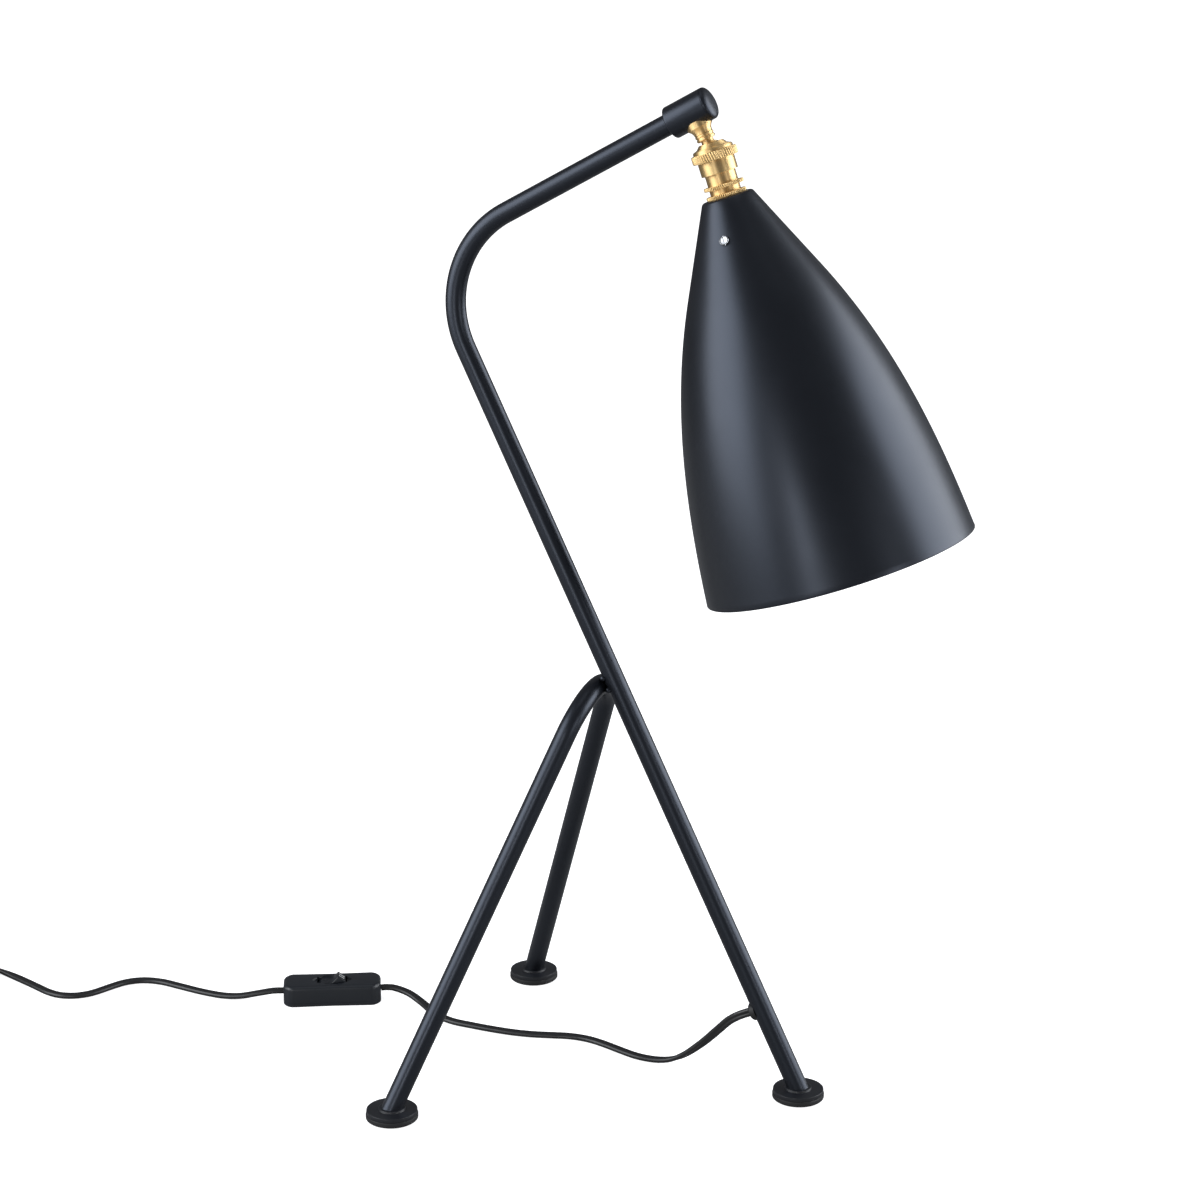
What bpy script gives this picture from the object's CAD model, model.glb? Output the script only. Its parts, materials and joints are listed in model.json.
import json
from math import asin, atan2, cos, hypot, pi, radians, sin, sqrt, tan

import bmesh
import bpy
from bpy.props import FloatProperty, FloatVectorProperty, IntProperty, PointerProperty
from bpy.types import Operator, Panel, PropertyGroup
from mathutils import Matrix, Vector


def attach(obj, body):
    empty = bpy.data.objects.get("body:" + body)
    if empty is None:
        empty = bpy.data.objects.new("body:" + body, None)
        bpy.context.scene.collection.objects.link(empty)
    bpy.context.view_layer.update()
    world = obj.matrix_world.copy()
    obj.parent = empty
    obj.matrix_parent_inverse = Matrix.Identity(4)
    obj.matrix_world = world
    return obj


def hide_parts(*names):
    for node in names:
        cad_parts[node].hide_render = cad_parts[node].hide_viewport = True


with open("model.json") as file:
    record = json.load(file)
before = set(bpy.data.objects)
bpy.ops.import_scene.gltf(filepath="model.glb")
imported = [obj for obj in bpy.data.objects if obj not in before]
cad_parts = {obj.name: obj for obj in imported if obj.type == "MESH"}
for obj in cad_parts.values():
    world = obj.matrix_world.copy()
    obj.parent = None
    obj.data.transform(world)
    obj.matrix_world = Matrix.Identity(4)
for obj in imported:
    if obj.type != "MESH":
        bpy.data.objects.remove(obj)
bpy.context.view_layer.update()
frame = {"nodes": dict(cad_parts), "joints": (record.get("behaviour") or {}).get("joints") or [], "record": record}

bl_info = {
    "name": "Desk lamp",
    "version": (1, 0, 0),
    "blender": (4, 5, 0),
    "location": "View3D > Sidebar > Desk lamp",
    "description": "Builds a desk lamp on a bent tube stand, with its lead and switch",
    "category": "Add Mesh",
}

MOUNTS = {m["name"]: Vector(m["pos_m"]) for m in frame["record"]["mounts"]}
JOINTS = {j["name"]: j for j in frame["joints"]}

# Profiles and small shapes are drawn in millimetres, and MM brings them to metres
MM = 0.001
WHOLE = 2 * pi

# Sizes in millimetres that no one would change
SPARE = 8  # a tube is built this much too long at its foot, and then trimmed level
LEG_GAP = 0.05  # between the main tube and the rear legs' bend, which the weld fills
BALL, BORE = 8.6, 2.9  # radius of the brass ball, and of the bore for the wires
SHOULDER, SIDE_START = 2.4, 4.8  # rounding of the shade's top, and where its side starts
SKIRT_TOP, SKIRT_FOOT = -48.4, -81.4  # the lampholder's skirt, from the ball's centre


# ---------------------------------------------------------------- sizes and colours


def length(name, text, default):
    return FloatProperty(name=name, description=text, default=default, unit="LENGTH", precision=4)


def angle(name, text, default):
    return FloatProperty(name=name, description=text, default=radians(default), subtype="ANGLE")


def colour(name, text, default):
    return FloatVectorProperty(name=name, description=text, default=default, subtype="COLOR",
                               min=0, max=1)


def amount(name, text, default, top=1.0):
    return FloatProperty(name=name, description=text, default=default, min=0, max=top)


class StandSizes(PropertyGroup):
    """Sizes of the tubes and the feet"""
    tube: length("Tube", "Outside diameter of the tubes", 0.012)
    lean: angle("Lean", "Lean of the main tube from upright", 25.8)
    rise: angle("Rise", "Rise of the arm above level", 29)
    corner: length("Corner height", "Height where main tube and arm would meet", 0.4895)
    bend: length("Main bend", "Radius of the main bend at its centre line", 0.061)
    arm: length("Arm", "Length of the arm from that corner to the joint", 0.1855)
    weld: length("Weld height", "Height of the weld on the main tube", 0.247)
    leg_bend: length("Leg bend", "Radius of the rear legs' bend", 0.034)
    foot: length("Foot", "Diameter of a foot's disc", 0.030)
    disc: length("Disc", "Thickness of a foot's disc", 0.0024)
    pad: length("Pad", "Height of a foot's rubber pad", 0.0036)
    ring: length("Tube ring", "Diameter of the ring round a tube's lower end", 0.0156)
    exit_height: length("Lead height", "Height of the lead's hole", 0.0535)


class JointSizes(PropertyGroup):
    """Sizes of the arm's end and the brass ball joint"""
    drop: length("Drop", "From the arm's centre line to the ball's centre", 0.0269)
    sleeve: length("Sleeve", "Diameter of the black sleeve", 0.0187)
    collar: length("Collar", "Diameter of the knurled collar", 0.026)
    collar_teeth: IntProperty(name="Collar teeth", description="Teeth in the collar's knurl",
                              default=54, min=30, max=90)
    body: length("Body", "Diameter of the joint's body", 0.0209)
    stud: length("Stud", "Diameter of the stud under the body", 0.0174)
    ring: length("Rings", "Diameter of the two thin rings", 0.0228)
    ring_teeth: IntProperty(name="Ring teeth", description="Teeth in a ring's knurl",
                            default=60, min=30, max=90)


class ShadeSizes(PropertyGroup):
    """Sizes of the bell shade"""
    top_drop: length("Top", "From the ball's centre to the shade's top", 0.0232)
    rim: length("Rim", "Diameter of the rim", 0.1568)
    shade_length: length("Length", "Length of the shade", 0.216)
    cone_top: length("Cone top", "Diameter of the cone at the shade's top", 0.0288)
    cone: angle("Cone", "Half angle of the upper cone", 25.6)
    cone_length: length("Cone length", "Length of the upper cone", 0.050)
    flare: angle("Flare", "Flare left at the rim", 5)
    wall: length("Wall", "Thickness of the metal", 0.001)
    screw_drop: length("Screws", "Distance of the screws below the top", 0.022)
    screw: length("Screw", "Diameter of a screw's head", 0.0056)


class LeadSizes(PropertyGroup):
    """Sizes of the lead, its switch and its plug"""
    width: length("Width", "Width of the flat lead", 0.0054)
    thick: length("Thickness", "Thickness of the flat lead", 0.0032)
    switch_length: length("Switch length", "Length of the switch", 0.062)
    switch_width: length("Switch width", "Width of the switch", 0.024)
    switch_height: length("Switch height", "Height of the switch", 0.0136)
    rocker_length: length("Rocker length", "Length of the rocker", 0.018)
    rocker_width: length("Rocker width", "Width of the rocker", 0.009)
    rocker_up: angle("Rocker tilt", "Tilt of the rocker", 12)


class FinishSettings(PropertyGroup):
    """Colours and surface qualities"""
    enamel: colour("Enamel", "Colour of the black enamel", (0.0045, 0.005, 0.0065))
    enamel_rough: amount("Enamel roughness", "Roughness of the black enamel", 0.34)
    inside: colour("Inside", "Colour of the enamel inside the shade", (0.82, 0.81, 0.78))
    brass: colour("Brass", "Colour of the brass", (1.0, 0.72, 0.34))
    brass_rough: amount("Brass roughness", "Roughness of the brass", 0.5)
    rubber: colour("Rubber", "Colour of pads and bush", (0.010, 0.010, 0.011))
    sheath: colour("Sheath", "Colour of the lead's sheath", (0.012, 0.012, 0.013))
    moulding: colour("Moulding", "Colour of the switch and plug mouldings", (0.010, 0.0125, 0.017))
    steel: colour("Steel", "Colour of the plated steel", (0.42, 0.43, 0.45))
    mark: colour("Mark", "Colour of the two marks on the rocker", (0.85, 0.85, 0.85))


class StudioSettings(PropertyGroup):
    """Camera and light"""
    eye: FloatVectorProperty(name="Eye", description="Place of the camera", unit="LENGTH",
                             default=(0.46705 + MOUNTS["front_pad"].x, -1.5657, 0.77604))
    heading: FloatProperty(name="Heading", description="Turn of the camera from +Y towards +X",
                           default=-0.362, subtype="ANGLE")
    dip: FloatProperty(name="Dip", description="Dip of the camera below level",
                       default=0.280, subtype="ANGLE")
    lens: FloatProperty(name="Lens", description="Focal length in millimetres", default=89.847)
    surround: amount("Surround", "Strength of the surrounding light", 0.17, 10)
    key: amount("Key", "Power of the large left light", 36, 500)
    edge: amount("Edge", "Power of the large right light", 48, 500)
    strip: amount("Strip", "Power of the narrow light left of the camera", 8, 500)
    low: amount("Low", "Power of the narrow light right of the camera", 5, 500)
    top: amount("Top", "Power of the overhead light", 3, 500)


# ---------------------------------------------------------------- frames of the parts


def settings(name):
    """The scene's settings for the stand, joint, shade, lead, finish or studio."""
    return getattr(bpy.context.scene, "lamp_" + name)


def lifted(height):
    return Matrix.Translation((0, 0, height))


def turned(turn, axis):
    return Matrix.Rotation(turn, 4, axis)


def along_main(height):
    """Length along the main tube from its foot to a height above the ground."""
    s = settings("stand")
    return (height - s.disc - s.pad) / cos(s.lean)


def ball_frame(joint):
    """Frame at the ball's centre with +Z along a joint's axis, which leans in the XZ plane."""
    up = Vector(JOINTS[joint]["axis"])
    return Matrix.Translation(JOINTS[joint]["pos_m"]) @ turned(atan2(up.x, up.z), "Y")


def stem_frame():
    return ball_frame("head_pan")


def head_frame():
    return ball_frame("head_spin")


def arm_frame():
    """Frame on the arm at the joint, with +Z along the arm."""
    return stem_frame() @ lifted(settings("joint").drop) @ turned(pi / 2, "Y")


def main_frame():
    """Frame at the foot of the main tube, with +Z along the tube."""
    s = settings("stand")
    foot = MOUNTS["front_pad"] + Vector((0, 0, s.disc + s.pad))
    return Matrix.Translation(foot) @ turned(-s.lean, "Y")


def bush_frame():
    """Frame of the lead's hole, with +Z out of the back of the main tube."""
    return main_frame() @ lifted(along_main(settings("stand").exit_height)) @ turned(-pi / 2, "Y")


def leg_plan():
    """Frame at the top of the rear legs' bend, the legs' splay and their straight length."""
    s = settings("stand")
    foot_top = s.disc + s.pad
    up = s.weld - foot_top
    weld = MOUNTS["front_pad"] + Vector((-tan(s.lean) * up, 0, s.weld))
    top = weld - (s.tube + LEG_GAP * MM) * Vector((cos(s.lean), 0, sin(s.lean)))
    rear = MOUNTS["rear_left_pad"]
    fall = Vector((top.x - rear.x, top.z - foot_top))
    deep, half = fall.length, rear.y
    reach = hypot(half, deep - s.leg_bend)
    splay = atan2(half, deep - s.leg_bend) - asin(s.leg_bend / reach)
    where = Matrix.Translation(top) @ turned(atan2(fall.x, fall.y), "Y")
    return where, splay, sqrt(reach ** 2 - s.leg_bend ** 2)


def shade_frame():
    """Frame at the middle of the shade's top."""
    return head_frame() @ lifted(-settings("shade").top_drop)


def switch_frame():
    """Frame on the ground under the switch, with +X along it."""
    up = Vector(JOINTS["rocker_tilt"]["axis"])
    pos = Vector(JOINTS["rocker_tilt"]["pos_m"])
    return Matrix.Translation((pos.x, pos.y, 0)) @ turned(atan2(-up.x, up.y), "Z")


# ---------------------------------------------------------------- shaping


def angles(start, stop, step):
    """Angles from start up to stop, both given in degrees."""
    return [radians(d) for d in range(start, stop, step)]


def soft(points, radius, steps=3, skip=()):
    """The outline with its inner corners rounded off."""
    out = [points[0]]
    for i in range(1, len(points) - 1):
        a, b, c = (Vector(points[k]) for k in (i - 1, i, i + 1))
        before, after = (a - b), (c - b)
        r = min(radius, before.length * 0.45, after.length * 0.45)
        if i in skip or before.angle(after) > pi - 0.2:
            out.append(points[i])
            continue
        start, end = b + before.normalized() * r, b + after.normalized() * r
        for k in range(steps + 1):
            t = k / steps
            p = start * (1 - t) ** 2 + b * 2 * t * (1 - t) + end * t ** 2
            out.append((p.x, p.y))
    return out + [points[-1]]


def lathe(points, steps=96):
    """Turns an outline of (radius, height) about +Z."""
    bm = bmesh.new()
    verts = [bm.verts.new((r, 0, z)) for r, z in points]
    edges = [bm.edges.new(pair) for pair in zip(verts, verts[1:])]
    bmesh.ops.spin(bm, geom=verts + edges, cent=(0, 0, 0), axis=(0, 0, 1), angle=WHOLE,
                   steps=steps, use_merge=True)
    bmesh.ops.remove_doubles(bm, verts=bm.verts, dist=1e-4)
    return bm


def knurl(bm, low, high, inner, teeth, depth, slant=0.0):
    """Cuts teeth into the part of a turned piece between two heights."""
    for v in bm.verts:
        r = hypot(v.co.x, v.co.y)
        if low < v.co.z < high and r > inner:
            phase = (atan2(v.co.y, v.co.x) / WHOLE * teeth + slant * (v.co.z - low)) % 1
            notch = max(0.0, abs(phase - 0.5) * 2 - 0.2) / 0.8
            v.co.x *= 1 - depth * notch / r
            v.co.y *= 1 - depth * notch / r


def shifted(bm, way):
    bmesh.ops.translate(bm, vec=way, verts=bm.verts)
    return bm


def tipped(bm, turn, axis):
    bmesh.ops.rotate(bm, cent=(0, 0, 0), verts=bm.verts, matrix=Matrix.Rotation(turn, 3, axis))
    return bm


def rounded(bm, edges, radius, segments):
    bmesh.ops.bevel(bm, geom=edges, offset=radius, segments=segments, profile=0.5,
                    affect="EDGES", material=-1)
    return bm


def rod(radius):
    """Start of a round bar: a circle at the origin, facing +Z."""
    bm = bmesh.new()
    bmesh.ops.create_circle(bm, cap_ends=False, radius=radius, segments=40)
    return bm, list(bm.edges)


def onward(bm, edges, way, steps):
    """Carries the bar's open end straight on."""
    for _ in range(steps):
        got = bmesh.ops.extrude_edge_only(bm, edges=edges)["geom"]
        verts = [g for g in got if isinstance(g, bmesh.types.BMVert)]
        bmesh.ops.translate(bm, vec=Vector(way) / steps, verts=verts)
        ends = set(verts)
        edges = [g for g in got if isinstance(g, bmesh.types.BMEdge) and set(g.verts) <= ends]
    return edges


def around(bm, edges, centre, axis, turn, steps=48):
    """Carries the bar's open end round a bend."""
    verts = list({v for e in edges for v in e.verts})
    last = bmesh.ops.spin(bm, geom=edges + verts, cent=centre, axis=axis, angle=turn,
                          steps=steps)["geom_last"]
    return [g for g in last if isinstance(g, bmesh.types.BMEdge)]


def capped(bm):
    bmesh.ops.holes_fill(bm, edges=[e for e in bm.edges if e.is_boundary], sides=0)
    return bm


def cut_off(bm, where, height):
    """Trims a piece in a frame below a height above the ground, and closes it."""
    back = where.inverted()
    co = (back @ Vector((0, 0, height))) / MM
    up = back.to_3x3() @ Vector((0, 0, 1))
    bmesh.ops.bisect_plane(bm, geom=bm.verts[:] + bm.edges[:] + bm.faces[:], dist=1e-5,
                           plane_co=co, plane_no=up, clear_inner=True)
    return capped(bm)


def block(size, centre=(0, 0, 0), round_off=0.0, segments=2):
    """Box with its edges rounded off."""
    bm = bmesh.new()
    bmesh.ops.create_cube(bm, size=1.0)
    bmesh.ops.scale(bm, vec=size, verts=bm.verts)
    shifted(bm, centre)
    return rounded(bm, bm.edges[:], round_off, segments) if round_off else bm


def prism(outline, low, high):
    """Stands an outline of (x, y) up between two heights."""
    bm = bmesh.new()
    face = bm.faces.new([bm.verts.new((x, y, low)) for x, y in outline])
    up = bmesh.ops.extrude_face_region(bm, geom=[face])["geom"]
    bmesh.ops.translate(bm, vec=(0, 0, high - low),
                        verts=[g for g in up if isinstance(g, bmesh.types.BMVert)])
    bmesh.ops.recalc_face_normals(bm, faces=bm.faces)
    return bm


def add_object(name, data):
    ob = bpy.data.objects.new(name, data)
    bpy.context.scene.collection.objects.link(ob)
    return ob


def to_object(bm, name):
    mesh = bpy.data.meshes.new(name)
    bm.to_mesh(mesh)
    bm.free()
    return add_object(name, mesh)


def aimed(data, place, way):
    """A camera or a light in its place, looking one way."""
    ob = add_object(data.name, data)
    ob.location = place
    ob.rotation_mode = "QUATERNION"
    ob.rotation_quaternion = way.to_track_quat("-Z", "Y")
    return ob


def joined(*parts):
    """One bmesh that holds several."""
    whole = bmesh.new()
    for part in parts:
        mesh = bpy.data.meshes.new("part")
        part.to_mesh(mesh)
        part.free()
        whole.from_mesh(mesh)
        bpy.data.meshes.remove(mesh)
    return whole


def carved(bm, *cutters):
    """The piece with each cutter's shape taken out of it."""
    def loose(part, name):
        bmesh.ops.recalc_face_normals(part, faces=part.faces)
        return to_object(part, name)

    solid = loose(bm, "carving")
    tools = [loose(c, "cutter") for c in cutters]
    for tool in tools:
        cut = solid.modifiers.new("cut", "BOOLEAN")
        cut.operation, cut.solver, cut.object = "DIFFERENCE", "EXACT", tool
    done = solid.evaluated_get(bpy.context.evaluated_depsgraph_get()).to_mesh()
    out = bmesh.new()
    out.from_mesh(done)
    for ob in [solid] + tools:
        mesh = ob.data
        bpy.data.objects.remove(ob)
        bpy.data.meshes.remove(mesh)
    return out


def piece(bm, name, where, body, finishes, stands_for=(), sharp=40, *, slot):
    """Finishes a piece: places it in its frame, smooths it and hangs it on its body.

    Edges that bend by more than sharp degrees stay crisp.
    """
    bmesh.ops.remove_doubles(bm, verts=bm.verts, dist=1e-4)
    bmesh.ops.recalc_face_normals(bm, faces=bm.faces)
    bm.transform(where @ Matrix.Scale(MM, 4))
    for e in bm.edges:
        e.smooth = e.is_manifold and e.calc_face_angle(0) < radians(sharp)
    for f in bm.faces:
        f.smooth = True
    ob = to_object(bm, name)
    for finish in finishes if isinstance(finishes, list) else [finishes]:
        ob.data.materials.append(finish)
    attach(ob, body)
    if stands_for:
        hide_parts(*stands_for)
    return ob


def dress(name, finish):
    """Gives a CAD node its material."""
    mesh = frame["nodes"][name].data
    mesh.materials.clear()
    mesh.materials.append(finish)


# ---------------------------------------------------------------- finishes


BLACK = (0, 0, 0, 1)


def new_group(name, inputs, outputs):
    """Empty node group with its input and output nodes, from the kinds of its sockets."""
    tree = bpy.data.node_groups.new(name, "ShaderNodeTree")
    for label, kind, default in inputs:
        socket = tree.interface.new_socket(name=label, in_out="INPUT",
                                           socket_type="NodeSocket" + kind)
        if default is not None:
            socket.default_value = default
    for label, kind in outputs:
        tree.interface.new_socket(name=label, in_out="OUTPUT", socket_type="NodeSocket" + kind)
    return tree, tree.nodes.new("NodeGroupInput"), tree.nodes.new("NodeGroupOutput")


def node(tree, kind, values=None, **options):
    """Adds a shader node with its options and the values of its inputs."""
    n = tree.nodes.new("ShaderNode" + kind)
    for key, value in options.items():
        setattr(n, key, value)
    for key, value in (values or {}).items():
        n.inputs[key].default_value = value
    return n


def wire(tree, *runs):
    """Links sockets: each run is a node, its output, the next node and its input."""
    for source, output, target, socket in runs:
        tree.links.new(source.outputs[output], target.inputs[socket])


def ramp(tree, low, high, values=(0.0, 1.0)):
    return node(tree, "MapRange", {"From Min": low, "From Max": high,
                                   "To Min": values[0], "To Max": values[1]})


def smudge_group():
    """Slow change of a colour and of a roughness over a handled surface."""
    tree, given, out = new_group(
        "Smudges",
        [("Vector", "Vector", None), ("Colour", "Color", BLACK), ("Other Colour", "Color", BLACK),
         ("Scale", "Float", 30.0), ("Low", "Float", 0.3), ("High", "Float", 0.4)],
        [("Colour", "Color"), ("Roughness", "Float")])
    noise = node(tree, "TexNoise", {"Detail": 4.0, "Roughness": 0.6})
    spread = ramp(tree, 0.3, 0.7)
    mix = node(tree, "Mix", data_type="RGBA")
    rough = node(tree, "MapRange")
    wire(tree, (given, "Vector", noise, "Vector"), (given, "Scale", noise, "Scale"),
         (noise, "Fac", spread, "Value"), (spread, "Result", mix, "Factor"),
         (given, "Colour", mix, "A"), (given, "Other Colour", mix, "B"),
         (spread, "Result", rough, "Value"), (given, "Low", rough, "To Min"),
         (given, "High", rough, "To Max"), (mix, "Result", out, "Colour"),
         (rough, "Result", out, "Roughness"))
    return tree


def grain_group():
    """Fine grain of sprayed enamel, moulded plastic or rubber, as a height."""
    tree, given, out = new_group(
        "Fine Grain",
        [("Vector", "Vector", None), ("Scale", "Float", 2500.0), ("Waves", "Float", 400.0),
         ("Share", "Float", 0.3)],
        [("Height", "Float")])
    fine = node(tree, "TexNoise", {"Detail": 3.0, "Roughness": 0.6})
    slow = node(tree, "TexNoise", {"Detail": 1.0, "Roughness": 0.4})
    mix = node(tree, "Mix")
    wire(tree, (given, "Vector", fine, "Vector"), (given, "Scale", fine, "Scale"),
         (given, "Vector", slow, "Vector"), (given, "Waves", slow, "Scale"),
         (given, "Share", mix, "Factor"), (fine, "Fac", mix, "A"), (slow, "Fac", mix, "B"),
         (mix, "Result", out, "Height"))
    return tree


def lathe_group():
    """Fine lines round an axis, as a lathe leaves them, for a vector whose Z is that axis."""
    tree, given, out = new_group(
        "Lathe Lines",
        [("Vector", "Vector", None), ("Pitch", "Float", 4000.0)],
        [("Height", "Float"), ("Roughness", "Float")])
    parts = node(tree, "SeparateXYZ")
    scale = node(tree, "Math", operation="MULTIPLY")
    lines = node(tree, "TexNoise", {"Scale": 1.0, "Detail": 3.0, "Roughness": 0.7},
                 noise_dimensions="1D")
    rough = ramp(tree, 0.25, 0.75)
    wire(tree, (given, "Vector", parts, "Vector"), (parts, "Z", scale, 0),
         (given, "Pitch", scale, 1), (scale, "Value", lines, "W"), (lines, "Fac", rough, "Value"),
         (lines, "Fac", out, "Height"), (rough, "Result", out, "Roughness"))
    return tree


GROUPS = {}


def group_node(tree, make, values):
    """Places a shared group, which is made the first time it is used."""
    if make not in GROUPS:
        GROUPS[make] = make()
    return node(tree, "Group", values, node_tree=GROUPS[make])


def new_material(name, shader):
    """A material, its node tree, and its shader with these values on its own sockets."""
    mat = bpy.data.materials.new(name)
    mat.use_nodes = True
    bsdf = mat.node_tree.nodes["Principled BSDF"]
    for key, value in shader.items():
        bsdf.inputs[key.replace("_", " ")].default_value = value
    return mat, mat.node_tree, bsdf


def paint(name, rgb, other, low, high, smudge=30.0, grain=2500.0, waves=400.0, share=0.3,
          depth=0.00001, **shader):
    """A sprayed, moulded or cast surface: slow smudges and a fine grain."""
    mat, tree, bsdf = new_material(name, shader)
    where = node(tree, "TexCoord")
    marks = group_node(tree, smudge_group, {"Colour": (*rgb, 1), "Other Colour": (*other, 1),
                                            "Scale": smudge, "Low": low, "High": high})
    fine = group_node(tree, grain_group, {"Scale": grain, "Waves": waves, "Share": share})
    bump = node(tree, "Bump", {"Strength": 1.0, "Distance": depth})
    wire(tree, (where, "Object", marks, "Vector"), (where, "Object", fine, "Vector"),
         (marks, "Colour", bsdf, "Base Color"), (marks, "Roughness", bsdf, "Roughness"),
         (fine, "Height", bump, "Height"), (bump, "Normal", bsdf, "Normal"))
    mat.diffuse_color = (*rgb, 1)
    return mat


def lathe_metal(name, rgb, other, low, high, where, pitch=4000.0, depth=0.000004, **shader):
    """Turned metal: lathe lines round the axis of a frame, and slow handling marks."""
    mat, tree, bsdf = new_material(name, {"Metallic": 1.0, "Anisotropic": 0.9,
                                          "Anisotropic Rotation": 0.25, **shader})
    source = node(tree, "TexCoord")
    # The way round the axis, which draws highlights out along the axis
    from_axis = node(tree, "VectorMath", {1: where.translation}, operation="SUBTRACT")
    way_round = node(tree, "VectorMath", {0: where.col[2].to_3d()}, operation="CROSS_PRODUCT")
    back = where.inverted()
    mapping = node(tree, "Mapping", {"Location": back.to_translation(),
                                     "Rotation": back.to_euler()})
    # Half of the change in roughness comes from the marks, and half from the lines
    half = (high - low) * 0.5
    marks = group_node(tree, smudge_group, {"Colour": (*rgb, 1), "Other Colour": (*other, 1),
                                            "Scale": 90.0, "Low": 0.0, "High": half})
    lines = group_node(tree, lathe_group, {"Pitch": pitch})
    rough = ramp(tree, 0.0, 1.0, (low, low + half))
    total = node(tree, "Math", operation="ADD")
    bump = node(tree, "Bump", {"Strength": 1.0, "Distance": depth})
    wire(tree, (source, "Object", from_axis, 0), (from_axis, "Vector", way_round, 1),
         (way_round, "Vector", bsdf, "Tangent"), (source, "Object", mapping, "Vector"),
         (source, "Object", marks, "Vector"), (mapping, "Vector", lines, "Vector"),
         (marks, "Colour", bsdf, "Base Color"), (lines, "Roughness", rough, "Value"),
         (marks, "Roughness", total, 0), (rough, "Result", total, 1),
         (total, "Value", bsdf, "Roughness"), (lines, "Height", bump, "Height"),
         (bump, "Normal", bsdf, "Normal"))
    mat.diffuse_color = (*rgb, 1)
    return mat


def shades(rgb, change):
    return tuple(min(1.0, c * change) for c in rgb)


def enamel():
    """Satin black enamel of the tubes, feet, sleeve and shade."""
    if "Black enamel" not in bpy.data.materials:
        f = settings("finish")
        paint("Black enamel", f.enamel, shades(f.enamel, 1.25), f.enamel_rough,
              f.enamel_rough + 0.05, smudge=18, grain=3000, waves=700, share=0.5,
              depth=0.000012, Specular_IOR_Level=0.55, Specular_Tint=(0.72, 0.81, 1.0, 1.0))
    return bpy.data.materials["Black enamel"]


def foot_enamel():
    """The enamel of the feet, a little paler than the tubes' where it lies flat."""
    f = settings("finish")
    return plain("Foot enamel", shades(f.enamel, 2.5), f.enamel_rough, grain=3000,
                 waves=700, share=0.5, depth=0.000012)


def brass(where, name):
    """Lacquered brass, turned round the axis of a frame."""
    f = settings("finish")
    if name not in bpy.data.materials:
        lathe_metal(name, f.brass, shades(f.brass, 0.86), f.brass_rough, f.brass_rough + 0.09,
                    where, Coat_Weight=0.2, Coat_Roughness=0.3)
    return bpy.data.materials[name]


def plain(name, rgb, rough, **shader):
    """A painted surface of one colour, made the first time it is used."""
    if name not in bpy.data.materials:
        paint(name, rgb, shades(rgb, 0.85), rough, rough + 0.08, **shader)
    return bpy.data.materials[name]


def rubber():
    return plain("Black rubber", settings("finish").rubber, 0.55, grain=1800, depth=0.00002)


def moulding():
    return plain("Black moulding", settings("finish").moulding, 0.33, grain=2200, waves=900,
                 depth=0.00002)


def steel():
    return plain("Plated steel", settings("finish").steel, 0.2, Metallic=1.0, smudge=120)


# ---------------------------------------------------------------- camera and lead


# Route of the lead from the bush in the main tube to the switch, in metres
FIRST_ROUTE = [
    (0.0384, 0, 0.0504), (0.0312, 0, 0.0469), (0.024, 0.002, 0.0415), (0.017, 0.0045, 0.034),
    (0.009, 0.0075, 0.0252), (0.0005, 0.010, 0.0168), (-0.0085, 0.0125, 0.0092),
    (-0.018, 0.0145, 0.004), (-0.028, 0.0156, 0.0019), (-0.040, 0.017, 0.0016),
    (-0.052, 0.0212, 0.0016), (-0.064, 0.026, 0.0016), (-0.076, 0.0295, 0.0016),
    (-0.088, 0.0298, 0.0016), (-0.100, 0.027, 0.0016), (-0.112, 0.024, 0.0016),
    (-0.125, 0.0224, 0.0016), (-0.139, 0.0224, 0.0016), (-0.153, 0.0232, 0.0016),
    (-0.165, 0.0244, 0.0016), (-0.176, 0.0285, 0.0016), (-0.186, 0.0355, 0.0019),
    (-0.196, 0.0428, 0.003), (-0.207, 0.0478, 0.0052), (-0.2183, 0.0485, 0.0069),
    (-0.2248, 0.04546, 0.007),
]
# Route from the switch to the coil
SECOND_ROUTE = [
    (-0.2811, 0.0192, 0.007), (-0.2874, 0.0163, 0.007), (-0.297, 0.0126, 0.0052),
    (-0.308, 0.010, 0.0028), (-0.320, 0.009, 0.0017), (-0.336, 0.010, 0.0016),
    (-0.352, 0.0126, 0.0016), (-0.367, 0.0148, 0.0016), (-0.379, 0.013, 0.0016),
    (-0.388, 0.0065, 0.0016), (-0.3935, -0.003, 0.0016), (-0.3975, -0.012, 0.0016),
    (-0.402, -0.0195, 0.0016), (-0.409, -0.025, 0.0016), (-0.4175, -0.0272, 0.0016),
    (-0.427, -0.0256, 0.0016), (-0.438, -0.021, 0.0016), (-0.449, -0.0163, 0.0016),
    (-0.461, -0.0116, 0.0017), (-0.475, -0.0074, 0.0022), (-0.489, -0.004, 0.0028),
    (-0.500, -0.0029, 0.0032), (-0.5065, -0.0027, 0.0032),
]
# Route from the coil to the plug
TAIL_ROUTE = [
    (-0.5472, -0.0434, 0.0092), (-0.5472, -0.049, 0.0091), (-0.5471, -0.055, 0.0081),
    (-0.547, -0.061, 0.0069), (-0.547, -0.0679, 0.0069),
]
# The coil: its middle and turns, and in metres the radius of its outer turn, the step inwards,
# the height of its lower layer, the step up to the other, and how far it dips in at that step
COIL_AT, COIL_TURNS, PER_TURN = (-0.512, -0.0379), 6.25, 40
COIL_RADIUS, COIL_STEP, COIL_LOW, COIL_LAYER, COIL_DIP = 0.0352, 0.0038, 0.0032, 0.006, 0.0018


def ease(x, a, b):
    """Goes smoothly from 0 to 1 while x goes from a to b."""
    t = min(1.0, max(0.0, (x - a) / (b - a)))
    return t * t * (3 - 2 * t)


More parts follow.
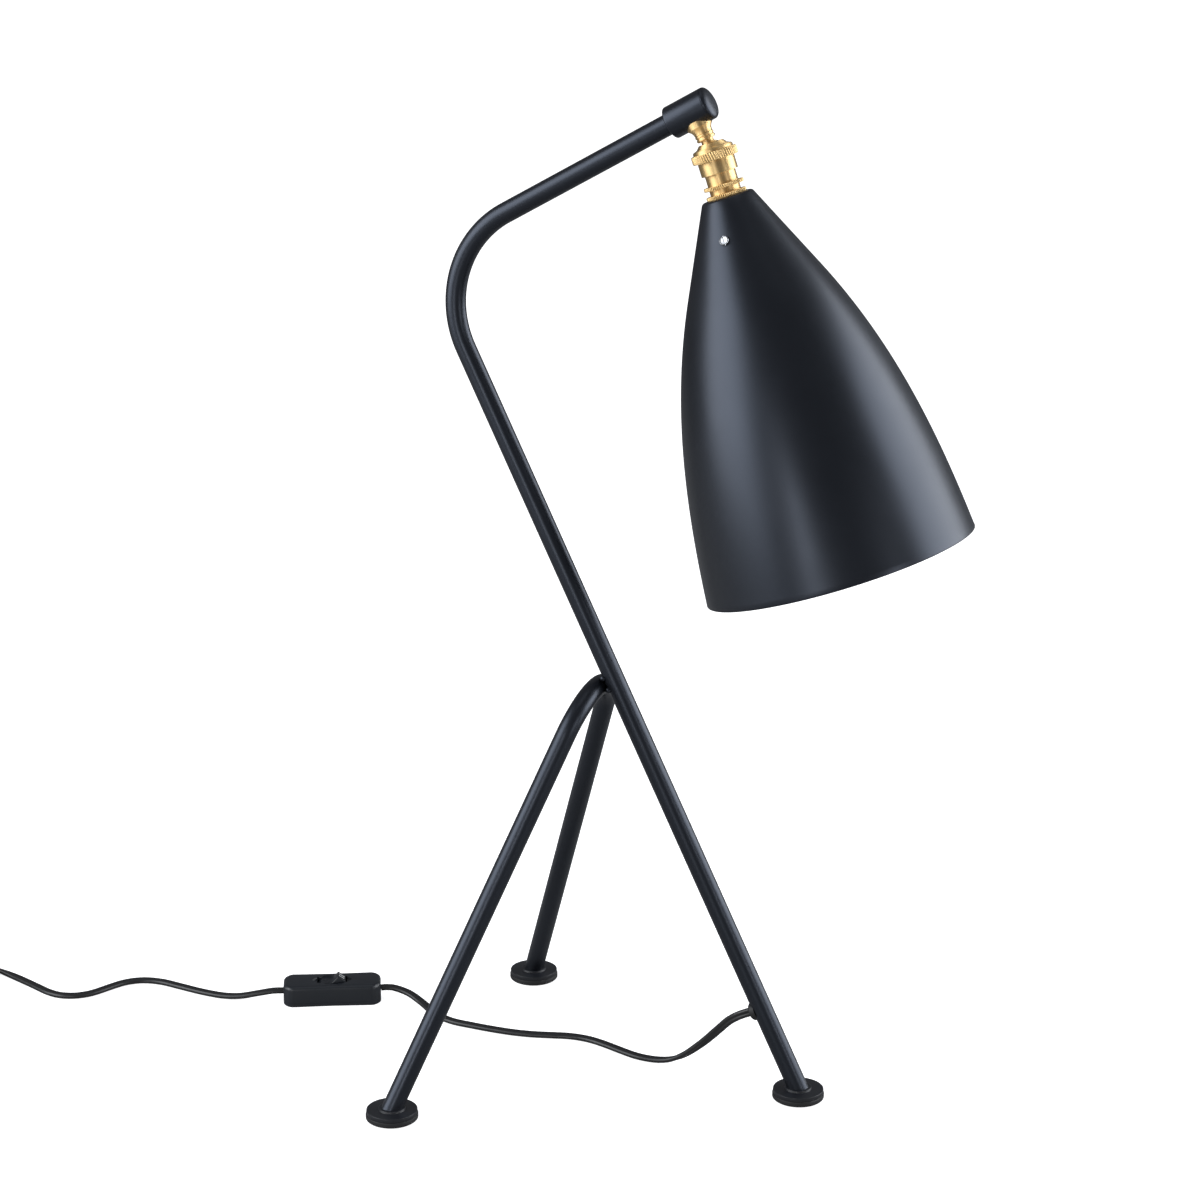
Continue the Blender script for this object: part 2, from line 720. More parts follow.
def coil_point(turn):
    """Middle of the coiled lead after a number of turns, in on one layer and out on the other."""
    half = COIL_TURNS / 2
    near = max(0.0, 1 - abs(turn - half) / 0.75)
    dip = COIL_DIP * near * near * (3 - 2 * near)
    r = COIL_RADIUS - COIL_STEP * min(turn, COIL_TURNS - turn) - dip
    a = pi / 2 + WHOLE * turn
    return Vector((COIL_AT[0] + r * cos(a), COIL_AT[1] + r * sin(a),
                   COIL_LOW + COIL_LAYER * ease(turn, half - 0.25, half + 0.25)))


def smooth_line(points, step=0.003):
    """Close points along a smooth curve through a route, none lower than the route's lowest."""
    low = min(p[2] for p in points)
    pts = [Vector(p) for p in points]
    pts = [2 * pts[0] - pts[1]] + pts + [2 * pts[-1] - pts[-2]]
    out = []
    for a, b, c, d in zip(pts, pts[1:], pts[2:], pts[3:]):
        count = max(1, round((c - b).length / step))
        for k in range(count):
            t = k / count
            p = 0.5 * (2 * b + (c - a) * t + (2 * a - 5 * b + 4 * c - d) * t * t
                       + (3 * b - a - 3 * c + d) * t ** 3)
            out.append(Vector((p.x, p.y, max(p.z, low))))
    return out + [pts[-2]]


def lead_section():
    """Section of the flat lead: two round cores with a shallow groove between them."""
    s = settings("lead")
    w, t = s.width / MM / 2, s.thick / MM / 2
    right = [(w - t + t * cos(a), t * sin(a)) for a in angles(-75, 76, 15)]
    dip = t - 0.42
    return ([(0.0, -dip), (0.35, -dip - 0.12), (0.75, -t + 0.05)] + right
            + [(0.75, t - 0.05), (0.35, dip + 0.12), (0.0, dip), (-0.35, dip + 0.12),
               (-0.75, t - 0.05)]
            + [(-x, y) for x, y in reversed(right)] + [(-0.75, -t + 0.05), (-0.35, -dip - 0.12)])


def lead_tube(points, rolls):
    """Tube with the lead's section along points in metres, turned about them by rolls."""
    bm = bmesh.new()
    section = lead_section()
    before = None
    for i, p in enumerate(points):
        way = (points[min(i + 1, len(points) - 1)] - points[max(i - 1, 0)]).normalized()
        side = Vector((-way.y, way.x, 0)).normalized()
        up = way.cross(side)
        c, s = cos(rolls[i]), sin(rolls[i])
        ring = [bm.verts.new(p / MM + (x * c - y * s) * side + (x * s + y * c) * up)
                for x, y in section]
        if before:
            for k in range(len(ring)):
                j = (k + 1) % len(ring)
                bm.faces.new((before[k], before[j], ring[j], ring[k]))
        before = ring
    return capped(bm)


class LAMP_OT_camera(Operator):
    """Places the camera where the photograph was taken from"""
    bl_idname = "lamp.camera"
    bl_label = "Camera"

    def execute(self, context):
        s = settings("studio")
        data = bpy.data.cameras.new("camera")
        data.sensor_width, data.lens = 36.0, s.lens
        data.clip_start, data.clip_end = 0.05, 50
        way = Vector((sin(s.heading) * cos(s.dip), cos(s.heading) * cos(s.dip), -sin(s.dip)))
        context.scene.camera = aimed(data, s.eye, way)
        return {"FINISHED"}


class LAMP_OT_lead(Operator):
    """Lays the flat lead from the stand through the switch to the coil and the plug"""
    bl_idname = "lamp.lead"
    bl_label = "Lead"

    def execute(self, context):
        sheath = plain("Lead sheath", settings("finish").sheath, 0.34, grain=1500, waves=300)
        wide = settings("lead").width
        # It leaves the stand on edge, lies flat on the ground, and is on edge again in the coil
        path = smooth_line(FIRST_ROUTE)
        rolls = [pi / 2 * (1 - ease(-p.x, -0.036, 0.028)) for p in path]
        first = piece(lead_tube(path, rolls), "flat_lead_to_switch", Matrix(), "stand", sheath,
                      ["lead_first"], 60, slot="lead_sheath")
        onto = smooth_line(SECOND_ROUTE)
        rolls = [pi / 2 * ease(-p.x, 0.455, 0.503) for p in onto]
        wound = [coil_point(k / PER_TURN) for k in range(int(COIL_TURNS * PER_TURN) + 1)]
        path = onto + wound + smooth_line(TAIL_ROUTE)
        rolls += [pi / 2] * (len(path) - len(rolls))
        second = piece(lead_tube(path, rolls), "flat_lead_to_plug", Matrix(), "stand", sheath,
                       ["lead_second", "lead_coil", "lead_tail"], 60, slot="lead_sheath")
        return {"FINISHED"}


# ---------------------------------------------------------------- stand


class LAMP_OT_main_tube(Operator):
    """Bends the main tube into the leaning stand and its arm"""
    bl_idname = "lamp.main_tube"
    bl_label = "Main tube"

    def execute(self, context):
        s = settings("stand")
        turn = pi / 2 - s.rise + s.lean
        r, corner = s.bend / MM, s.bend / MM * tan(turn / 2)
        up = along_main(s.corner) / MM - corner
        bm, end = rod(s.tube / MM / 2)
        shifted(bm, (0, 0, -SPARE))
        end = onward(bm, end, (0, 0, up + SPARE), 8)
        end = around(bm, end, (r, 0, up), (0, 1, 0), turn)
        # The arm ends 9 mm short of the joint's axis, inside the sleeve
        onward(bm, end, Vector((sin(turn), 0, cos(turn))) * (s.arm / MM - corner - 9), 4)
        where = main_frame()
        piece(cut_off(bm, where, s.disc + s.pad), "bent_main_tube", where, "stand", enamel(),
              ["main_tube"], slot="tube_enamel")
        return {"FINISHED"}


class LAMP_OT_rear_legs(Operator):
    """Bends the one tube that makes both rear legs, and welds it to the main tube"""
    bl_idname = "lamp.rear_legs"
    bl_label = "Rear legs"

    def execute(self, context):
        s = settings("stand")
        where, splay, leg = leg_plan()
        leg, r = leg / MM + SPARE, s.leg_bend / MM
        down = Vector((0, sin(splay), -cos(splay)))
        hip = Vector((0, r * cos(splay), -r + r * sin(splay)))
        bm, end = rod(s.tube / MM / 2)
        shifted(tipped(bm, splay, "X"), hip + down * leg)
        end = onward(bm, end, -down * leg, 6)
        end = around(bm, end, (0, 0, -r), (1, 0, 0), pi - 2 * splay)
        onward(bm, end, Vector((0, -down.y, down.z)) * leg, 6)
        piece(cut_off(bm, where, s.disc + s.pad), "bent_rear_legs", where, "stand", enamel(),
              ["rear_leg_tube"], slot="tube_enamel")
        # Two rows of nine beads, above and below the touch of the tubes
        along = along_main(s.weld) / MM
        beads = []
        for side in (-1, 1):
            for k in range(9):
                a = pi + radians(44) * (k - 4) / 4
                bead = bmesh.new()
                bmesh.ops.create_uvsphere(bead, u_segments=20, v_segments=12, radius=1.75)
                beads.append(shifted(bead, (6.3 * cos(a), 6.3 * sin(a),
                                            along + side * (4.4 - 0.5 * abs(k - 4) / 4))))
        piece(joined(*beads), "weld_ripples", main_frame(), "stand", enamel(), ["weld_beads"],
              slot="tube_enamel")
        return {"FINISHED"}


class LAMP_OT_feet(Operator):
    """Makes the three feet: a steel disc with a ring round the tube, over a rubber pad"""
    bl_idname = "lamp.feet"
    bl_label = "Feet"

    def execute(self, context):
        s = settings("stand")
        r, pad, top = s.foot / MM / 2, s.pad / MM, (s.disc + s.pad) / MM
        ring = s.ring / MM / 2
        # The disc with its ring, and the pad, whose rim stands 0.4 mm proud of the disc
        disc = soft([(0, pad), (r, pad), (r, top), (ring + 0.15, top), (ring, top + 1.0),
                     (ring - 0.5, top + 1.2), (0, top + 1.2)], 0.3, 4)
        rest = soft([(0, 0), (r - 0.6, 0), (r + 0.4, 0.7), (r + 0.4, pad - 0.25), (r - 0.1, pad),
                     (0, pad)], 0.5)
        for name, solid in (("front", "front_foot"), ("rear_left", "rear_foot_left"),
                            ("rear_right", "rear_foot_right")):
            where = Matrix.Translation(MOUNTS[name + "_pad"])
            piece(lathe(disc), name + "_foot_disc", where, "stand", foot_enamel(), [solid],
                  slot="foot_enamel")
            piece(lathe(rest), name + "_foot_pad", where, "stand", rubber(), ["foot_pads"],
                  slot="pad_rubber")
        return {"FINISHED"}


class LAMP_OT_bush(Operator):
    """Makes the bush where the lead leaves the main tube"""
    bl_idname = "lamp.bush"
    bl_label = "Lead bush"

    def execute(self, context):
        outline = soft([(0, 3.7), (4.2, 3.7), (4.2, 5.4), (5.6, 3.4), (5.6, 6.4), (4.7, 7.4),
                        (0, 7.4)], 0.4)
        piece(lathe(outline, 64), "lead_bush_flange", bush_frame(), "stand", rubber(),
              ["lead_bush"], slot="bush_rubber")
        return {"FINISHED"}


class LAMP_OT_arm_end(Operator):
    """Makes the black sleeve at the arm's end, its domed plug and the flared brass seat"""
    bl_idname = "lamp.arm_end"
    bl_label = "Arm end"

    def execute(self, context):
        j = settings("joint")
        r, drop = j.sleeve / MM / 2, j.drop / MM
        sleeve = soft([(0, -14.5), (r, -14.5), (r, 9.7), (r - 0.3, 9.72), (0, 9.72)], 1.1, 5,
                      skip=(2, 3))
        piece(lathe(sleeve), "arm_end_sleeve", arm_frame(), "stand", enamel(), ["arm_sleeve"],
              slot="sleeve_enamel")
        dome = [(0, 9.78), (r - 0.25, 9.78), (r - 0.05, 9.9)]
        dome += [(r * cos(a) ** 0.8, 9.75 + 3.4 * sin(a) ** 0.8) for a in angles(6, 90, 6)]
        piece(lathe(dome + [(0, 13.15)]), "arm_end_dome", arm_frame(), "stand", enamel(),
              ["sleeve_plug"], slot="sleeve_enamel")
        low = 13.35  # just clear of the neck of the ball stem
        flare = [(4.5, low), (5.1, low), (5.4, low + 0.3), (5.35, low + 0.6)]
        flare += [(5.3 + 2.1 * t * t, low + 0.6 + 3.5 * t) for t in (k / 10 for k in range(11))]
        flare += [(7.4, drop - 6), (4.5, drop - 6)]
        piece(lathe(flare + flare[:1]), "flared_brass_seat", stem_frame(), "stand",
              brass(stem_frame(), "Stem brass"), ["flared_seat"], slot="turned_brass")
        return {"FINISHED"}


# ---------------------------------------------------------------- head


class LAMP_OT_ball_joint(Operator):
    """Turns the brass ball stem, the joint body, its knurled collar and the two knurled rings"""
    bl_idname = "lamp.ball_joint"
    bl_label = "Ball joint"

    def execute(self, context):
        j = settings("joint")
        head, stem_up = head_frame(), stem_frame()
        # The stem: bore, shank, neck band, waist and ball
        ball = [(BALL * cos(a), BALL * sin(a)) for a in angles(-50, 66, 5)]
        stem = [(BORE, 25.3), (4.4, 25.3), (4.4, 13.2)]
        stem += soft([(4.4, 13.2), (5.3, 13.2), (5.45, 12.9), (5.45, 12.1), (5.0, 11.8),
                      (5.0, 11.4), (5.45, 11.1), (5.45, 10.2), (4.9, 9.7), (3.6, 9.7),
                      (3.5, 9.2)], 0.14, 2)
        stem += ball[::-1] + [(5.2, -6.6), (BORE, -0.6), (BORE, 25.3)]
        piece(lathe(stem), "turned_ball_stem", stem_up, "stem", brass(stem_up, "Stem brass"),
              ["ball_stem"], slot="turned_brass")
        wide, stud = j.body / MM / 2, j.stud / MM / 2
        # The body: the cup for the ball, the barrel, and the stud under it
        body = [(8.9, -8.8), (8.9, 0.4)]
        body += soft([(8.9, 0.4), (wide, 0.4), (wide, -9.8), (stud, -9.8), (stud, -21.05),
                      (5.1, -21.05)], 0.35)
        body += [(4.6, -12.3), (4.6, -8.8), (8.9, -8.8)]
        metal = brass(head, "Head brass")
        piece(lathe(body), "turned_joint_body", head, "head", metal, ["joint_body"],
              slot="turned_brass")
        # The collar: its knurled band, the domed lip over the ball, and the seat inside
        r = j.collar / MM / 2
        teeth = [(r - 0.65, -2.2), (r - 0.35, -2.05), (r, -1.5), (r, -0.6), (r, 0.2), (r, 1.0),
                 (r, 1.9), (r - 0.35, 2.45), (r - 0.75, 2.6)]
        lip = soft([(r - 1.2, 2.6), (11.35, 2.75), (11.4, 3.8), (10.9, 4.5), (9.7, 4.85),
                    (8.7, 5.3), (7.9, 6.2), (7.2, 6.95), (6.9, 7.3), (6.5, 7.3)], 0.35)
        collar = teeth + lip + [(6.2, 6.1)]
        seat = BALL + 0.1
        collar += [(seat * cos(a), seat * sin(a)) for a in angles(44, -1, -4)]
        collar += [(seat, 0.6), (10.55, 0.6), (10.55, -2.2), (r - 0.65, -2.2)]
        bm = lathe(collar, j.collar_teeth * 8)
        knurl(bm, -2.1, 2.5, r - 0.6, j.collar_teeth, 0.5, 0.12)
        piece(bm, "knurled_clamp_collar", head, "clamp_collar", metal, ["collar"],
              slot="turned_brass", sharp=50)
        r = j.ring / MM / 2
        for name, solid, low, hole in (("upper_knurled_ring", "upper_ring", -18.0, stud + 0.03),
                                       ("shade_knurled_ring", "shade_ring", -23.15, 5.1)):
            ring = [(hole, low), (r - 0.6, low), (r - 0.3, low + 0.08), (r, low + 0.4),
                    (r, low + 0.8), (r, low + 1.3), (r, low + 1.7), (r - 0.3, low + 2.02),
                    (r - 0.6, low + 2.1), (hole, low + 2.1), (hole, low)]
            bm = lathe(ring, j.ring_teeth * 6)
            knurl(bm, low + 0.05, low + 2.05, r - 0.5, j.ring_teeth, 0.42)
            piece(bm, name, head, "head", metal, [solid], slot="turned_brass", sharp=50)
        return {"FINISHED"}


def bell_radius(d):
    """Outside radius of the shade in millimetres at a distance below its top.

    Below the cone it is one cubic, which takes on the cone's slope and ends with the rim's flare.
    """
    s = settings("shade")
    top, rim = s.cone_top / MM / 2, s.rim / MM / 2
    cone, whole = s.cone_length / MM, s.shade_length / MM
    if d <= cone:
        return top + d * tan(s.cone)
    rest, t = whole - cone, (d - cone) / (whole - cone)
    start, finish = rest * tan(s.cone), rest * tan(s.flare)
    low = top + cone * tan(s.cone)
    return (low * (2 * t ** 3 - 3 * t * t + 1) + start * (t ** 3 - 2 * t * t + t)
            + rim * (3 * t * t - 2 * t ** 3) + finish * (t ** 3 - t * t))


def bell_side(inset, count=56):
    """Side of the shade from below its shoulder to its rim, moved in by an inset."""
    s = settings("shade")
    out = []
    for i in range(count + 1):
        d = SIDE_START + (s.shade_length / MM - SIDE_START) * i / count
        slope = (bell_radius(d + 0.1) - bell_radius(d - 0.1)) / 0.2
        n = Vector((1, slope)).normalized() * inset
        out.append((bell_radius(d) - n.x, -d - (n.y if i < count else 0)))
    return out


def shoulder(inset):
    """Rounding between the shade's flat top and its cone, moved in by an inset."""
    cone, r = settings("shade").cone, SHOULDER
    side = bell_radius(0) - r / cos(cone) + r * tan(cone)
    return [(side + (r - inset) * cos(a), -r + (r - inset) * sin(a)) for a in angles(90, 29, -10)]


class LAMP_OT_shade(Operator):
    """Spins the bell shade, black outside and pale inside"""
    bl_idname = "lamp.shade"
    bl_label = "Shade"

    def execute(self, context):
        wall = settings("shade").wall / MM
        outer, inner = bell_side(0), bell_side(wall)
        rim_in, rim_out = inner[-1], outer[-1]
        mid = ((rim_in[0] + rim_out[0]) / 2, rim_out[1])
        rim = [(mid[0] + wall / 2 * cos(a), mid[1] - wall / 2 * sin(a) + wall / 2)
               for a in angles(0, 181, 30)]
        line = ([(5.1, 0)] + shoulder(0) + outer[:-1] + rim + inner[-2::-1]
                + shoulder(wall)[::-1] + [(5.1, -wall), (5.1, 0)])
        bm = lathe(line, 160)
        # Faces on the inner side of the wall are pale
        for f in bm.faces:
            c = f.calc_center_median()
            r, d = hypot(c.x, c.y), -c.z
            if d > 1.2 and r < bell_radius(d) - wall * 0.6:
                f.material_index = 1
        pale = plain("Pale enamel", settings("finish").inside, 0.45, depth=0.000012)
        piece(bm, "spun_bell_shade", shade_frame(), "head", [enamel(), pale], ["shade"],
              slot="shade_enamel", sharp=50)
        return {"FINISHED"}


class LAMP_OT_shade_screws(Operator):
    """Sets the two slotted screws into the shade's cone"""
    bl_idname = "lamp.shade_screws"
    bl_label = "Shade screws"

    def execute(self, context):
        s = settings("shade")
        r, d = s.screw / MM / 2, s.screw_drop / MM
        parts = []
        for way, slot_turn in ((-90, 8), (90, 70)):
            head = lathe(soft([(0, -4), (1.4, -4), (1.4, 0.04), (r, 0.04), (r, 0.9),
                               (r - 0.4, 1.5), (r - 0.75, 1.15), (0, 1.15)], 0.2, 4,
                              skip=(1, 2)), 48)
            groove = block((2 * r + 2, 0.7, 2), (0, 0, 1.6))
            one = carved(head, tipped(groove, radians(slot_turn), "Z"))
            one.transform(turned(radians(way), "Z")
                          @ Matrix.Translation((bell_radius(d), 0, -d))
                          @ turned(pi / 2 - s.cone, "Y"))
            parts.append(one)
        piece(joined(*parts), "slotted_shade_screws", shade_frame(), "head", steel(),
              ["shade_screws"], slot="bright_screws")
        return {"FINISHED"}


class LAMP_OT_lampholder(Operator):
    """Makes the lampholder's cap and ribbed skirt, and the bulb"""
    bl_idname = "lamp.lampholder"
    bl_label = "Lampholder and bulb"

    def execute(self, context):
        head = head_frame()
        low, high = SKIRT_FOOT, SKIRT_TOP
        black = plain("Holder plastic", (0.011, 0.011, 0.012), 0.3, grain=2000)
        # The cap round the threaded tube, the ribbed skirt below it, and the bulb
        dome = [(5.1, -29.4), (7.6, -29.4), (8, -29.8), (8, -32.4)]
        dome += [(8 + 11.5 * cos(a), -32.4 - 11 * (1 - sin(a))) for a in angles(75, -1, -15)]
        dome += [(19.5, -47.9), (19.1, -48.3), (17.5, -48.3), (17.4, -44), (9, -35), (5.1, -34),
                 (5.1, -29.4)]
        piece(lathe(dome, 72), "lampholder_dome", head, "head", black, ["holder_cap"],
              slot="holder_plastic")
        bm = lathe([(16.9, high), (19.3, high), (19.5, high - 0.3), (19.5, high - 5),
                    (19.2, high - 5.3), (19.2, -79), (19.2, -66), (19.2, low + 1), (18.4, low),
                    (16.9, low), (16.9, high)], 144)
        # 24 shallow ribs
        for v in bm.verts:
            if -80.5 < v.co.z < high - 5.2 and hypot(v.co.x, v.co.y) > 18.8:
                wave = 0.35 * (1 - abs(2 * ((atan2(v.co.y, v.co.x) / WHOLE * 24) % 1) - 1))
                v.co.x *= 1 - wave / 19.2
                v.co.y *= 1 - wave / 19.2
        piece(bm, "lampholder_skirt", head, "head", black, ["holder_shell"],
              slot="holder_plastic")
        glass = [(0, -80.7), (12.9, -80.7), (13.8, -82.2)]
        glass += [(13.8 + 16.2 * (1 - cos(pi * t)) / 2, -82.2 - 50.5 * t)
                  for t in (k / 12 for k in range(1, 12))]
        glass += [(30 * cos(a), -132.65 - 30 * sin(a)) for a in angles(0, 91, 6)]
        opal = plain("Opal glass", (0.9, 0.89, 0.86), 0.12, smudge=20, depth=0.000002,
                     Coat_Weight=0.6, Coat_Roughness=0.05, Subsurface_Weight=0.2)
        piece(lathe(glass, 96), "opal_bulb", head, "head", opal, ["bulb_glass"],
              slot="opal_glass")
        return {"FINISHED"}


# ---------------------------------------------------------------- switch


class LAMP_OT_switch(Operator):
    """Moulds the inline switch with its dished top, and its rocker with two white marks"""
    bl_idname = "lamp.switch"
    bl_label = "Inline switch"

    def execute(self, context):
        s = settings("lead")
        x, y, high = s.switch_length / MM / 2, s.switch_width / MM / 2, s.switch_height / MM
        # Half length and half width of the rocker, and the height of its face above its pin
        end, edge, face = s.rocker_length / MM / 2, s.rocker_width / MM / 2, 3.0
        black = moulding()
        where = switch_frame()

        # Seen from above, the long sides are slightly waisted and the corners cut off
        quarter = [(x, 7.4), (x - 4.2, y), (10, y - 0.45), (0, y - 0.6)]
        far = quarter + [(-px, py) for px, py in reversed(quarter[:-1])]
        plan = far + [(-px, -py) for px, py in far]

        def shell(floor, roof, top, bottom):
            """One half of the case, with its top and bottom edges rounded by two radii."""
            bm = prism(plan, floor, roof)
            rounded(bm, [e for e in bm.edges if abs(e.verts[0].co.z - e.verts[1].co.z) > 1
                         and abs(e.verts[0].co.x) > 12], 2.2, 5)
            for z, r in ((roof, top), (floor, bottom)):
                if r:
                    rounded(bm, [e for e in bm.edges
                                 if all(abs(v.co.z - z) < 1e-3 for v in e.verts)], r, 6)
            return bm

        # The dish round the rocker is a lens between two arcs
        half, side = end + 4.6, edge + 3.9
        big = (half * half + side * side) / (2 * side)
        a = asin(half / big)
        arc = [(big * sin(t), big * cos(t) - big + side)
               for t in (a - 2 * a * k / 24 for k in range(25))]
        dish = prism(arc + [(-px, -py) for px, py in arc[1:-1]], high - 1.1, high + 2)
        bmesh.ops.scale(dish, vec=(0.9, 0.86, 1), verts=[v for v in dish.verts if v.co.z < high])
        # The window is long enough for the rocker's ends to swing
        swing = hypot(end, face - 0.4) + 0.25
        window = block((2 * swing, 2 * edge + 0.6, 9), (0, 0, high - 2))
        top = carved(shell(2.25, high, 2.5, 0.15), dish, window)
        piece(top, "switch_top_moulding", where, "stand", black, ["switch_top"], sharp=32,
              slot="switch_plastic")
        base = shell(0, 2.2, 0, 0.7)
        screws = [lathe([(0, -1), (2.3, -1), (2.3, 1.5), (0, 1.5)], 32) for _ in range(2)]
        for hole, way in zip(screws, (-26.5, 26.5)):
            shifted(hole, (way, 0, 0))
        piece(carved(base, *screws), "switch_base_moulding", where, "stand", black,
              ["switch_base"], sharp=32, slot="switch_plastic")
        # Side view of the rocker, drawn level: a dent for the thumb, a ridge, and beyond it the
        # slope with the two marks. It is then tipped so that this end is up
        ridge, toe = Vector((5.4, face + 3.4)), Vector((end, face - 0.5))
        side_view = [(-end, -0.6), (-end, face - 0.4), (-5.8, face + 1.4), (-0.9, face + 0.1),
                     (0.9, face + 0.2), tuple(ridge), tuple(toe), (end, -0.6), (4, -2.4),
                     (-4, -2.4)]
        bm = tipped(prism(side_view, -edge, edge), pi / 2, "X")
        rounded(bm, bm.edges[:], 0.35, 3)
        thumb = lathe([(0, -0.4), (1.4, -0.4), (2.1, 0.05), (2.3, 1.0), (0, 1.0)], 40)
        thumb.transform(Matrix.Translation((-3.6, 0, face + 0.8)) @ turned(radians(15), "Y"))
        down, middle = toe - ridge, (ridge + toe) / 2
        marks = [block((down.length - 1.2, 0.6, 0.16), (0, way, 0), 0.06, 1)
                 for way in (-1.4, 1.4)]
        for mark in marks:
            mark.transform(Matrix.Translation((middle.x, 0, middle.y))
                           @ turned(atan2(-down.y, down.x), "Y"))
        pivot = JOINTS["rocker_tilt"]["pos_m"][2]
        tip = where @ lifted(pivot) @ turned(-s.rocker_up, "Y")
        piece(carved(bm, thumb), "rocker", tip, "rocker", black, ["switch_rocker"], sharp=32,
              slot="switch_plastic")
        piece(joined(*marks), "rocker_marks", tip, "rocker",
              plain("White mark", settings("finish").mark, 0.5), slot="switch_plastic")
        return {"FINISHED"}


class LAMP_OT_small_parts(Operator):
    """Gives the hidden and small parts their materials"""
    bl_idname = "lamp.small_parts"
    bl_label = "Small parts"

    def execute(self, context):
        f = settings("finish")
        sheath = bpy.data.materials["Lead sheath"]
        contact = plain("Contact brass", f.brass, 0.3, Metallic=1.0, smudge=80)
        finishes = {
            "inner_lead": sheath, "head_lead": sheath, "stem_nut": steel(),
            "threaded_tube": steel(), "carrier_nut": steel(), "shade_carrier": steel(),
            "rocker_pin": steel(), "switch_screws": steel(),
            "ball_washer": plain("Nylon", (0.72, 0.7, 0.64), 0.4),
            "holder_core": plain("Porcelain", (0.8, 0.78, 0.73), 0.15),
            "holder_thread": contact, "holder_contact": contact, "switch_contacts": contact,
            "bulb_cap": plain("Cap aluminium", (0.6, 0.6, 0.61), 0.3, Metallic=1.0),
            "coil_tie": plain("Tie plastic", (0.011, 0.011, 0.011), 0.4),
            "plug_sleeve": moulding(), "plug_body": moulding(), "plug_pins": steel(),
        }
        for name, finish in finishes.items():
            dress(name, finish)
        return {"FINISHED"}


# ---------------------------------------------------------------- studio


def pale_floor():
    """Paper sweep: plain white to the camera, and grey with a faint glow to the lamp."""
    mat, tree, bsdf = new_material("Pale floor", {"Roughness": 0.9, "Specular IOR Level": 0.1,
                                                  "Emission Color": (1, 1, 1, 1)})
    where = node(tree, "TexCoord")
    away = node(tree, "VectorMath", operation="LENGTH")
    seen = ramp(tree, 0.6, 2.5, (0.8, 1.1))
    glow = ramp(tree, 1.8, 3.0, (0.05, 0.0))
    path = node(tree, "LightPath")
    tone = node(tree, "Mix", {"A": (0.3, 0.3, 0.3, 1), "B": (0.92, 0.92, 0.92, 1)},
                data_type="RGBA")
    mix = node(tree, "Mix")
    wire(tree, (where, "Object", away, 0), (away, "Value", seen, "Value"),
         (away, "Value", glow, "Value"), (path, "Is Camera Ray", mix, "Factor"),
         (glow, "Result", mix, "A"), (seen, "Result", mix, "B"),
         (mix, "Result", bsdf, "Emission Strength"), (path, "Is Camera Ray", tone, "Factor"),
         (tone, "Result", bsdf, "Base Color"))
    return mat


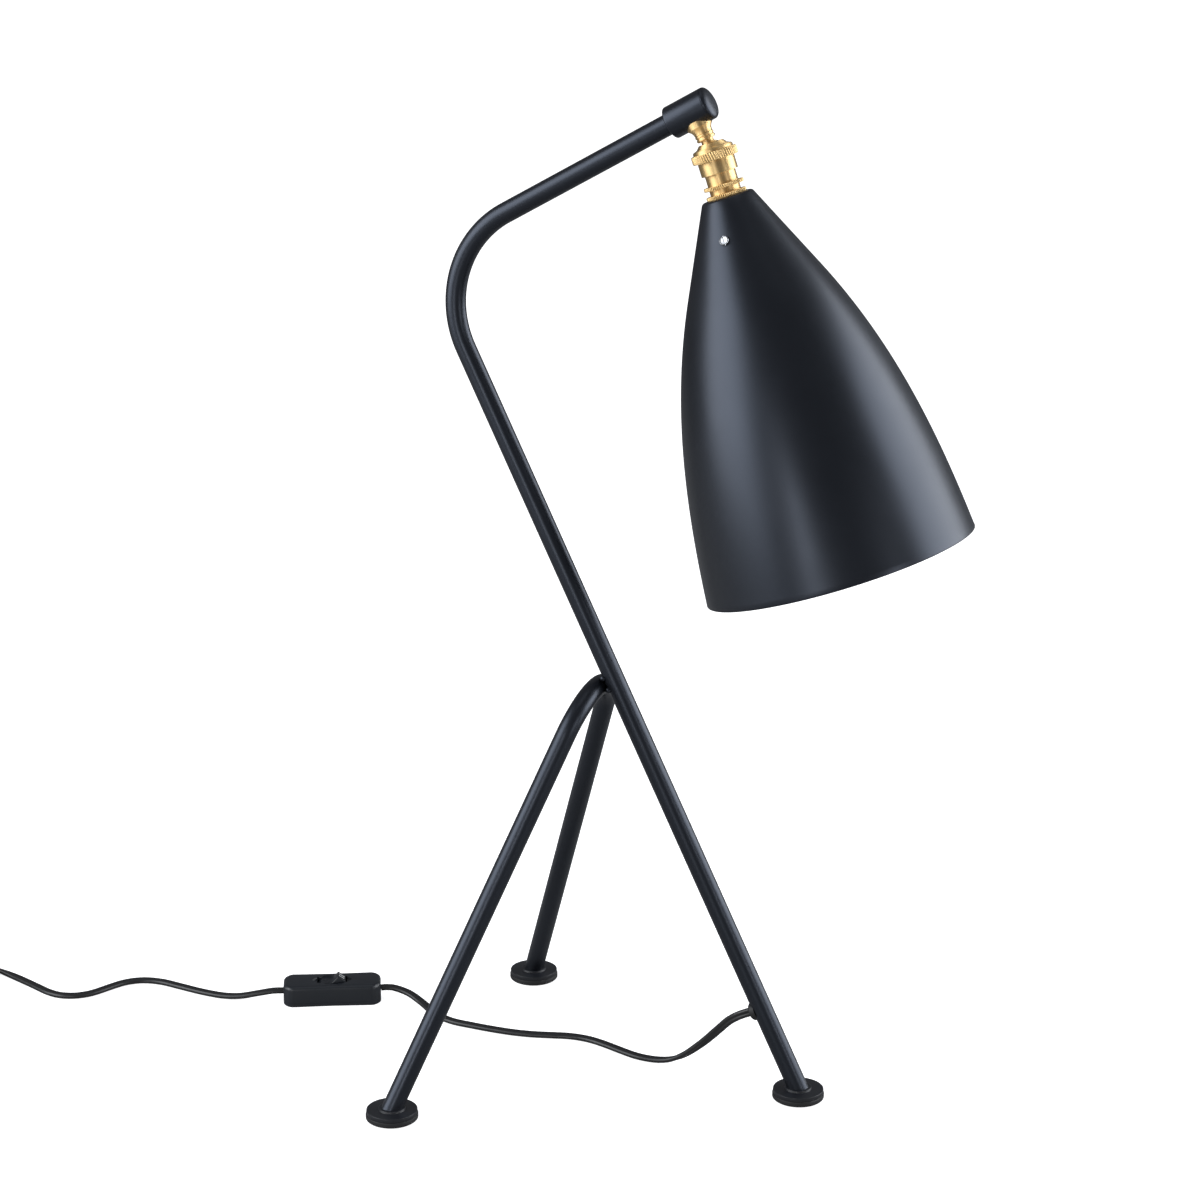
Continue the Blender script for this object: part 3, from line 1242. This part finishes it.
class LAMP_OT_studio(Operator):
    """Sets up the pale floor, the surround and the soft lights"""
    bl_idname = "lamp.studio"
    bl_label = "Studio"

    def execute(self, context):
        s = settings("studio")
        context.scene.view_settings.view_transform = "Standard"
        bm = bmesh.new()
        bmesh.ops.create_grid(bm, x_segments=1, y_segments=1, size=30)
        floor = to_object(shifted(bm, (0, 0, -0.0002)), "floor")
        floor.data.materials.append(pale_floor())
        world = bpy.data.worlds.new("surround")
        context.scene.world = world
        world.use_nodes = True
        tree = world.node_tree
        # The camera sees plain white, and the lamp is lit by a dimmer, cooler surround
        seen = tree.nodes["Background"]
        seen.inputs["Color"].default_value = (1, 1, 1, 1)
        seen.inputs["Strength"].default_value = 1.0
        lit = node(tree, "Background", {"Color": (0.93, 0.95, 1.0, 1), "Strength": s.surround})
        path, mix = node(tree, "LightPath"), node(tree, "MixShader")
        wire(tree, (path, "Is Camera Ray", mix, "Fac"), (lit, "Background", mix, 1),
             (seen, "Background", mix, 2), (mix, "Shader", tree.nodes["World Output"], "Surface"))
        aim = Vector((0.085, 0, 0.43))
        for name, place, wide, high, power, tint in (
                ("key", (-1.40, -1.03, 0.90), 1.5, 1.6, s.key, (0.93, 0.96, 1.0)),
                ("edge", (1.67, 0.85, 0.86), 1.9, 1.7, s.edge, (0.93, 0.96, 1.0)),
                ("strip", (-0.08, -2.19, 0.42), 0.14, 0.8, s.strip, (1.0, 1.0, 1.0)),
                ("low", (2.035, -1.0, 0.38), 0.14, 0.7, s.low, (1.0, 1.0, 1.0)),
                ("top", (0.1, -0.1, 2.4), 1.2, 1.2, s.top, (1.0, 1.0, 1.0))):
            data = bpy.data.lights.new(name, "AREA")
            data.shape, data.size, data.size_y = "RECTANGLE", wide, high
            data.energy, data.color = power, tint
            aimed(data, place, aim - Vector(place))
        return {"FINISHED"}


class LAMP_PT_panel(Panel):
    """Lists the lamp's pieces and their sizes"""
    bl_idname = "LAMP_PT_panel"
    bl_label = "Desk lamp"
    bl_space_type = "VIEW_3D"
    bl_region_type = "UI"
    bl_category = "Desk lamp"

    def draw(self, context):
        for op in OPERATORS:
            self.layout.operator(op.bl_idname)
        for key in SETTINGS:
            group = getattr(context.scene, key)
            box = self.layout.box()
            box.label(text=group.rna_type.name)
            for prop in group.bl_rna.properties:
                if prop.identifier not in ("rna_type", "name"):
                    box.prop(group, prop.identifier)


SETTINGS = {"lamp_stand": StandSizes, "lamp_joint": JointSizes, "lamp_shade": ShadeSizes,
            "lamp_lead": LeadSizes, "lamp_finish": FinishSettings, "lamp_studio": StudioSettings}
OPERATORS = [LAMP_OT_camera, LAMP_OT_lead, LAMP_OT_main_tube, LAMP_OT_rear_legs, LAMP_OT_feet,
             LAMP_OT_bush, LAMP_OT_arm_end, LAMP_OT_ball_joint, LAMP_OT_shade,
             LAMP_OT_shade_screws, LAMP_OT_lampholder, LAMP_OT_switch, LAMP_OT_small_parts,
             LAMP_OT_studio]


def register():
    for cls in list(SETTINGS.values()) + OPERATORS + [LAMP_PT_panel]:
        bpy.utils.register_class(cls)
    for key, cls in SETTINGS.items():
        setattr(bpy.types.Scene, key, PointerProperty(type=cls))


def unregister():
    for key in SETTINGS:
        delattr(bpy.types.Scene, key)
    for cls in [LAMP_PT_panel] + OPERATORS[::-1] + list(SETTINGS.values())[::-1]:
        bpy.utils.unregister_class(cls)


def main():
    register()
    for op in OPERATORS:
        group, name = op.bl_idname.split(".")
        getattr(getattr(bpy.ops, group), name)()


if __name__ == "__main__":
    main()
